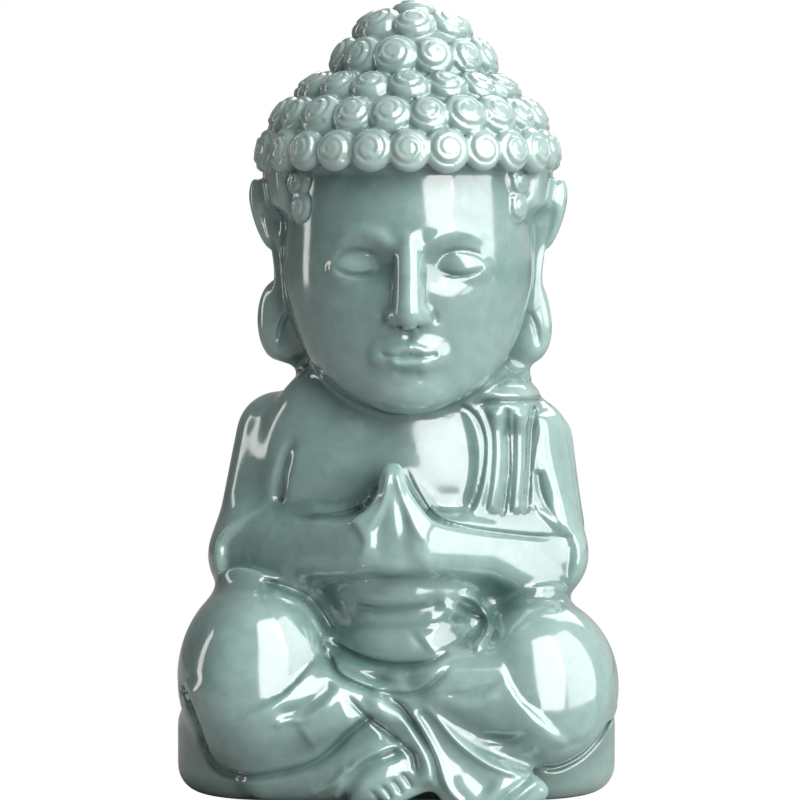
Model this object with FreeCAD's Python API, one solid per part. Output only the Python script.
import FreeCAD, Part
import math
import os

# A seated figure carved in the round from one piece of jade, on a low rock plinth.
# The figure faces -Y and +Z is up. "Right" and "left" are the figure's own, so right is -X.
# Units are millimetres, and the origin is the middle of the flat underside.

Vector = FreeCAD.Vector
Rotation = FreeCAD.Rotation

# Driving dimensions
HEIGHT = 60.0            # underside to the top of the topmost curl
WIDTH = 33.2             # across the plinth and the knees
DEPTH = 25.0             # front hem to the back of the plinth

# Heights of the carved masses, worked out from the whole height
PLINTH_TOP = 0.12 * HEIGHT
KNEE_Z = 0.16 * HEIGHT
ELBOW_Z = 0.303 * HEIGHT
WRIST_Z = 0.322 * HEIGHT
SHOULDER_Z = 0.45 * HEIGHT
CHIN_Z = 0.49 * HEIGHT
EAR_FOOT_Z = 0.545 * HEIGHT
EAR_TIP_Z = 0.765 * HEIGHT
HAIRLINE_Z = 0.797 * HEIGHT

# Half sizes and places of the carved masses
HALF = WIDTH / 2
BACK = DEPTH / 2
CHEST_HALF = 11.0
CHEST_DEPTH = 7.8
CHEST_Y = 1.8
PALM_X = -0.3            # the plane where the two palms meet
ARM_RADIUS = 3.3
WRIST_RADIUS = 2.5
HEAD_X = 0.9             # the head sits a little to the figure's left
HEAD_HALF = 9.4

# Hair: a cap and a crown, both round in plan, covered in rows of curls
HAIR_Y = 0.6
CAP_HALF = 10.9
CAP_Z = 47.3             # height where the cap is widest
CAP_RISE = 8.2
CAP_DROP = 14.0
CROWN_LEAN = 0.4         # the crown leans a little to the figure's left
CROWN_HALF = 6.4
CURL_HALF = 1.25         # radius of a curl where it meets the hair
CURL_RISE = 0.85         # how far a curl stands out of the hair
CURL_PITCH = 2.75        # from curl to curl along a row
ROW_PITCH = 2.35         # from row to row along the slope of the hair
BEHIND_EARS_Y = 3.4      # below the hairline, curls start this far back
CROWN_Z = 51.8
CROWN_RISE = HEIGHT - CURL_RISE - CROWN_Z


GRAZE = 0.001            # shift that frees two faces that only graze


# ---------------------------------------------------------------- shapes

def ellipsoid(centre, radii, turn=0.0, axis=(0, 0, 1)):
    """A solid ellipsoid with its own radii along X, Y and Z, turned about an axis through its centre."""
    stretch = FreeCAD.Matrix()
    stretch.scale(*radii)
    solid = Part.makeSphere(1.0).transformGeometry(stretch)
    solid.rotate(Vector(0, 0, 0), Vector(*axis), turn)
    solid.translate(Vector(*centre))
    return solid


def limb(start, end, start_radius, end_radius):
    """A tapered limb with round ends: one solid of revolution between two spheres."""
    start, end = Vector(*start), Vector(*end)
    length = (end - start).Length
    slope = math.asin((start_radius - end_radius) / length)
    quarter = math.pi / 2

    def on_ball(height, radius, angle):
        return Vector(radius * math.cos(angle), 0, height + radius * math.sin(angle))

    def round_end(height, radius, first, last):
        angles = (first, (first + last) / 2, last)
        return Part.Arc(*[on_ball(height, radius, angle) for angle in angles]).toShape()

    low = round_end(0, start_radius, -quarter, slope)
    side = Part.makeLine(on_ball(0, start_radius, slope), on_ball(length, end_radius, slope))
    high = round_end(length, end_radius, slope, quarter)
    axis = Part.makeLine(on_ball(length, end_radius, quarter), on_ball(0, start_radius, -quarter))
    face = Part.Face(Part.Wire([low, side, high, axis]))
    solid = face.revolve(Vector(0, 0, 0), Vector(0, 0, 1), 360)
    solid.Placement = FreeCAD.Placement(start, Rotation(Vector(0, 0, 1), end - start))
    return solid


def rounded_block(low, high, corner, edge):
    """A block with large round corners in plan and softened top and bottom edges."""
    size = [b - a for a, b in zip(low, high)]
    block = Part.makeBox(*size, Vector(*low))
    upright = [e for e in block.Edges if abs(e.tangentAt(e.FirstParameter).z) > 0.9]
    block = block.makeFillet(corner, upright)
    rims = [e for e in block.Edges if e.BoundBox.ZLength < 0.01]
    return block.makeFillet(edge, rims)


def smooth_outline(points):
    """A closed smooth wire through a few points."""
    curve = Part.BSplineCurve()
    curve.interpolate([Vector(*p) for p in points], PeriodicFlag=True)
    return Part.Wire(curve.toShape())


def oval(centre, across, deep, tilt=0.0, heading=0.0):
    """A level oval section: tilt leans it about X, then heading turns it about Z."""
    turned = deep > across
    wire = Part.Wire(Part.Ellipse(Vector(0, 0, 0), max(across, deep), min(across, deep)).toShape())
    if turned:
        wire.rotate(Vector(0, 0, 0), Vector(0, 0, 1), 90)
    wire.rotate(Vector(0, 0, 0), Vector(1, 0, 0), tilt)
    wire.rotate(Vector(0, 0, 0), Vector(0, 0, 1), heading)
    wire.translate(Vector(*centre))
    return wire


def fuse(first, *others):
    """Join masses that make up one node."""
    return first.multiFuse(list(others)).removeSplitter()


def carve(solid, tool):
    """Cut a tool from a solid. Faces that only graze can defeat a cut, and a hair's shift clears them."""
    for shift in (0.0, GRAZE, -GRAZE, 3 * GRAZE):
        try:
            return solid.cut(tool.translated(Vector(shift, shift, shift)))
        except ValueError:
            continue
    raise RuntimeError("a cut failed at every shift")


# ---------------------------------------------------------------- base and legs

def plinth():
    """Low rock base, flat underneath."""
    return rounded_block((-HALF, -0.31 * DEPTH, 0), (HALF, BACK, PLINTH_TOP), corner=7.2, edge=2.0)


def seat():
    """Hips under the robe, the mass between the plinth and the torso."""
    return ellipsoid((0.3, 3.4, 9.6), (13.6, 8.5, 9.0))


def right_knee():
    """Right thigh and knee under the robe."""
    return ellipsoid((-10.25, -3.6, KNEE_Z - 0.1), (6.05, 8.3, 7.1))


def right_drape():
    """Robe drawn from the right knee in towards the lap."""
    return limb((-9.2, -6.4, 7.3), (-1.6, -9.2, 7.3), 5.3, 1.9)


def left_knee():
    """Left thigh and knee, lying a little lower than the right one."""
    return ellipsoid((10.55, -3.4, KNEE_Z - 0.8), (6.05, 8.2, 6.3))


def left_drape():
    """Robe drawn from the left knee in towards the lap."""
    return limb((9.3, -6.2, 7.6), (3.6, -8.0, 8.5), 5.2, 3.3)


def right_shin():
    """Right shin, lying across the front under the knee."""
    return limb((-9.4, -6.8, 2.9), (-1.4, -8.9, 3.3), 2.8, 3.0)


def right_foot():
    """Right foot below the robe's edge, with five toes."""
    sole = ellipsoid((-1.6, -9.8, 2.3), (3.5, 2.3, 2.0), turn=-12, axis=(0, 1, 0))
    toes = []
    for count in range(5):
        root = (-1.6 + 0.74 * count, -10.6 - 0.1 * count, 1.9 + 0.12 * count)
        tip = (-0.2 + 0.64 * count, -11.4 + 0.08 * count, 0.8 + 0.28 * count)
        toes.append(limb(root, tip, 0.62, 0.5))
    return fuse(sole, *toes)


def lap_flap():
    """Robe end: narrow at the lap, falling between the legs to a wide hem on the plinth."""
    sections = [
        oval((0.2, -8.4, 9.4), across=1.2, deep=1.2, tilt=-25),
        oval((1.0, -9.6, 7.8), across=1.4, deep=1.2, tilt=-20, heading=-8),
        oval((2.9, -10.3, 5.6), across=1.8, deep=1.2, tilt=-10, heading=-8),
        oval((5.0, -10.8, 3.6), across=3.0, deep=1.4, heading=2),
        oval((7.0, -10.9, 1.8), across=4.2, deep=1.6, heading=6),
        oval((6.7, -10.9, 0.0), across=3.2, deep=1.5, heading=3),
    ]
    return Part.makeLoft(sections, True, False)


# ---------------------------------------------------------------- trunk

def belly():
    """Round belly below the forearms."""
    return ellipsoid((0.5, -1.4, 15.6), (7.0, 7.6, 5.3))


def waist_band():
    """Edge of the skirt, under the belly."""
    return ellipsoid((0.7, -2.3, 11.5), (6.8, 7.1, 3.7))


def torso():
    """Chest and back."""
    return ellipsoid((0.4, CHEST_Y, 23.0), (CHEST_HALF, CHEST_DEPTH, 12.0))


def neck():
    """Short neck between the shoulders and the head."""
    return Part.makeCylinder(5.4, 6.0, Vector(HEAD_X, 1.4, 30.4))


def robe_wrap():
    """Robe over the left shoulder, open on the right of the chest and slanting across the back."""
    cloth = ellipsoid((0.4, CHEST_Y, 22.8), (CHEST_HALF + 0.8, CHEST_DEPTH + 0.8, 12.5))
    reach = 60.0
    wide = FreeCAD.Matrix()
    wide.scale(9.6, 1.0, 9.6)
    chest_opening = Part.makeCylinder(1.0, reach, Vector(0, -reach, 0), Vector(0, 1, 0))
    chest_opening = chest_opening.transformGeometry(wide)
    chest_opening.translate(Vector(-3.4, CHEST_Y, 25.2))
    right_shoulder = Part.makeBox(reach, reach / 2, reach, Vector(-reach, 0, -reach / 2))
    right_shoulder.rotate(Vector(0, 0, 0), Vector(0, 1, 0), 33)
    right_shoulder.translate(Vector(4.6, CHEST_Y, 30.0))
    below = Part.makeBox(reach, reach, reach, Vector(-reach / 2, -reach / 2, 13.0 - reach))
    behind_arms = Part.makeBox(reach, reach / 2, 20.0, Vector(-reach / 2, CHEST_Y - reach / 2, 0))
    for waste in (chest_opening, right_shoulder, below, behind_arms):
        cloth = cloth.cut(waste)
    return cloth


def robe_collar():
    """Thick rolled fold of the robe on top of the left shoulder."""
    return ellipsoid((7.7, 1.2, 29.4), (3.3, 6.0, 3.0))


# ---------------------------------------------------------------- arms and hands

RIGHT_ELBOW = (-10.6, -0.2, ELBOW_Z)
LEFT_ELBOW = (11.1, -0.2, ELBOW_Z)


def right_upper_arm():
    """Bare right upper arm, hanging straight down."""
    return limb((-8.9, 1.8, SHOULDER_Z), RIGHT_ELBOW, ARM_RADIUS, ARM_RADIUS)


def left_upper_arm():
    """Left upper arm in its sleeve, a little stouter than the bare one."""
    return limb((9.7, 1.8, SHOULDER_Z - 0.6), LEFT_ELBOW, ARM_RADIUS + 0.3, ARM_RADIUS)


def right_forearm():
    """Right forearm, coming forward and in to the hands."""
    return limb(RIGHT_ELBOW, (PALM_X - 2.6, -7.7, WRIST_Z), ARM_RADIUS, WRIST_RADIUS)


def left_forearm():
    """Left forearm, coming forward and in to the hands."""
    return limb(LEFT_ELBOW, (PALM_X + 2.6, -7.7, WRIST_Z), ARM_RADIUS, WRIST_RADIUS)


def hand(side):
    """One hand of the pair, palm to palm, tapering up: side is -1 for the right hand and 1 for the left."""
    fingers = limb((PALM_X + side * 2.2, -7.9, WRIST_Z), (PALM_X + side * 0.45, -8.4, 24.7), 2.4, 0.85)
    far_side = Part.makeBox(20, 20, 20, Vector(PALM_X - 10 - side * 10, -20, 10))
    return fingers.cut(far_side)


def right_hand():
    return hand(-1)


def left_hand():
    return hand(1)


# ---------------------------------------------------------------- head and hair

def head():
    """Egg-shaped head, narrowing to a small chin, with its top hidden under the hair."""
    sections = [
        oval((HEAD_X, -6.4, CHIN_Z), across=1.8, deep=1.4),
        oval((HEAD_X, -5.3, CHIN_Z + 0.8), across=4.2, deep=3.2),
        oval((HEAD_X, -3.4, CHIN_Z + 2.8), across=6.8, deep=5.8),
        oval((HEAD_X, -1.6, CHIN_Z + 5.8), across=8.5, deep=8.0),
        oval((HEAD_X, -0.6, CHIN_Z + 9.8), across=HEAD_HALF, deep=9.3),
        oval((HEAD_X, -0.1, CHIN_Z + 14.0), across=HEAD_HALF, deep=9.8),
        oval((HEAD_X, 0.2, CHIN_Z + 18.0), across=9.0, deep=9.3),
        oval((HEAD_X, 0.4, CHIN_Z + 21.6), across=7.2, deep=7.4),
        oval((HEAD_X, 0.6, CHIN_Z + 23.6), across=4.6, deep=4.8),
    ]
    return Part.makeLoft(sections, True, False)


def spun_quarter(half, rise, middle):
    """A quarter of an ellipse spun about the middle of the hair; a negative rise hangs down."""
    side, tip = Vector(half, 0, middle), Vector(0, 0, middle + rise)
    bulge = Vector(half * math.cos(math.pi / 4), 0, middle + rise * math.sin(math.pi / 4))
    long_end, short_end = (side, tip) if half > abs(rise) else (tip, side)
    ring = Part.Ellipse(long_end, short_end, Vector(0, 0, middle))
    ends = [ring.parameter(point) for point in (side, bulge, tip)]
    first, last = min(ends[0], ends[2]), max(ends[0], ends[2])
    if not first < ends[1] < last:
        first, last = last - 2 * math.pi, first
    curve = Part.ArcOfEllipse(ring, first, last).toShape()
    level = Part.makeLine(Vector(0, 0, middle), side)
    axis = Part.makeLine(Vector(0, 0, middle), tip)
    face = Part.Face(Part.Wire(Part.__sortEdges__([curve, level, axis])))
    solid = face.revolve(Vector(0, 0, 0), Vector(0, 0, 1), 360)
    solid.translate(Vector(HEAD_X, HAIR_Y, 0))
    return solid


def hair_cap():
    """Cap of hair: a dome above the hairline, falling to the nape behind the ears."""
    dome = spun_quarter(CAP_HALF, CAP_RISE, CAP_Z)
    above = Part.makeBox(60, 60, 30, Vector(-30, -30, HAIRLINE_Z))
    dome = dome.common(above)
    fall = spun_quarter(CAP_HALF, -CAP_DROP, HAIRLINE_Z)
    behind = Part.makeBox(60, 30, HAIRLINE_Z - 35.0, Vector(-30, 0.8, 35.0))
    sideburns = Part.makeBox(60, 30, 3.4, Vector(-30, -4.2, HAIRLINE_Z - 3.4))
    fall = fall.common(fuse(behind, sideburns))
    return fuse(dome, fall)


def crown():
    """Raised crown of hair on top of the cap."""
    dome = spun_quarter(CROWN_HALF, CROWN_RISE, CROWN_Z)
    dome.translate(Vector(CROWN_LEAN, 0, 0))
    return dome


def ear(side):
    """Long ear standing out from the head: pointed top, narrow waist and a heavy lobe."""
    points = [
        (8.0, 45.2), (10.4, 45.6), (12.0, EAR_TIP_Z), (11.6, 43.4), (10.7, 41.0),
        (10.4, 38.8), (10.8, 36.6), (11.1, 34.6), (10.4, EAR_FOOT_Z + 0.3),
        (8.6, EAR_FOOT_Z), (7.2, 34.4), (7.0, 40.0),
    ]
    middle_x = sum(x for x, z in points) / len(points)
    middle_z = sum(z for x, z in points) / len(points)
    sections = []
    for depth, share in ((0.0, 0.84), (0.7, 1.0), (1.9, 1.0), (2.6, 0.84)):
        scaled = [(middle_x + (x - middle_x) * share, middle_z + (z - middle_z) * share)
                  for x, z in points]
        sections.append(smooth_outline([(side * x, depth, z) for x, z in scaled]))
    slab = Part.makeLoft(sections, True, False)
    slab.rotate(Vector(side * 8.0, 0, 0), Vector(0, 0, 1), side * 16)
    slab.translate(Vector(HEAD_X, -0.8, 0))
    return slab


def right_ear():
    return ear(-1)


def left_ear():
    return ear(1)


# ---------------------------------------------------------------- curls

def hair_surface(slope, half, rise, middle, lean):
    """Point and outward direction on the hair at an angle up from the level of its widest ring."""
    def place(around):
        flat = Vector(math.sin(around), -math.cos(around), 0)
        point = Vector(HEAD_X + lean, HAIR_Y, middle) + flat * (half * math.cos(slope))
        point.z += rise * math.sin(slope)
        out = flat * (math.cos(slope) / half)
        out.z = math.sin(slope) / rise
        return point, out.normalize()
    return place


def curl_rows():
    """Every row of curls: where it lies, how far it is round, and whether the face breaks it."""
    rows = []
    for half, rise, middle, lean, lowest, highest in (
        (CAP_HALF, CAP_DROP, HAIRLINE_Z, 0.0, -0.70, -0.06),
        (CAP_HALF, CAP_RISE, CAP_Z, 0.0, 0.17, 0.85),
        (CROWN_HALF, CROWN_RISE, CROWN_Z, CROWN_LEAN, 0.56, 1.52),
    ):
        length = (half + rise) / 2 * (highest - lowest)
        count = int(length / ROW_PITCH)
        for row in range(count + 1):
            slope = lowest + (highest - lowest) * row / count
            around = 2 * math.pi * half * math.cos(slope)
            rows.append((hair_surface(slope, half, rise, middle, lean), around, slope < 0))
    return rows


def curl(point, out):
    """One snail curl: a shallow dome of a ball, its flat base resting on the scalp."""
    ball = (CURL_HALF ** 2 + CURL_RISE ** 2) / (2 * CURL_RISE)
    sunk = ball - CURL_RISE
    base_angle = math.degrees(math.asin(sunk / ball))
    return Part.makeSphere(ball, point - out * sunk, out, base_angle, 90, 360)


def hair_curls():
    """Snail curls in staggered rows all round the cap and the crown, as separate small domes."""
    curls = []
    for row, (place, around, broken) in enumerate(curl_rows()):
        count = max(1, int(around / CURL_PITCH))
        for step in range(count):
            point, out = place(2 * math.pi * (step + 0.5 * (row % 2)) / count)
            if broken and point.y < BEHIND_EARS_Y:
                continue
            curls.append(curl(point, out))
    return Part.makeCompound(curls)


# ---------------------------------------------------------------- build

BUILDERS = [
    plinth, seat, torso, neck, crown, head, hair_cap, right_ear, left_ear, belly, waist_band,
    robe_wrap, robe_collar, right_knee, left_knee, right_shin, right_drape, left_drape,
    right_foot, lap_flap, right_upper_arm, left_upper_arm, right_forearm, left_forearm,
    right_hand, left_hand,
]


def trim_to_neighbours(raw):
    """Cut each mass back to those before it in the list, so that they meet face to face."""
    done = {}
    for name, solid in raw.items():
        for other in done.values():
            if solid.BoundBox.intersect(other.BoundBox):
                solid = carve(solid, other)
        done[name] = max(solid.Solids, key=lambda piece: piece.Volume)
    return done


def main():
    os.makedirs("parts", exist_ok=True)
    nodes = trim_to_neighbours({builder.__name__: builder() for builder in BUILDERS})
    nodes["hair_curls"] = hair_curls()
    for name, shape in nodes.items():
        shape.exportStep(f"parts/{name}.step")
        print(f"{name:16s} {len(shape.Solids):4d} {shape.Volume:8.1f} mm3  valid {shape.isValid()}")


main()
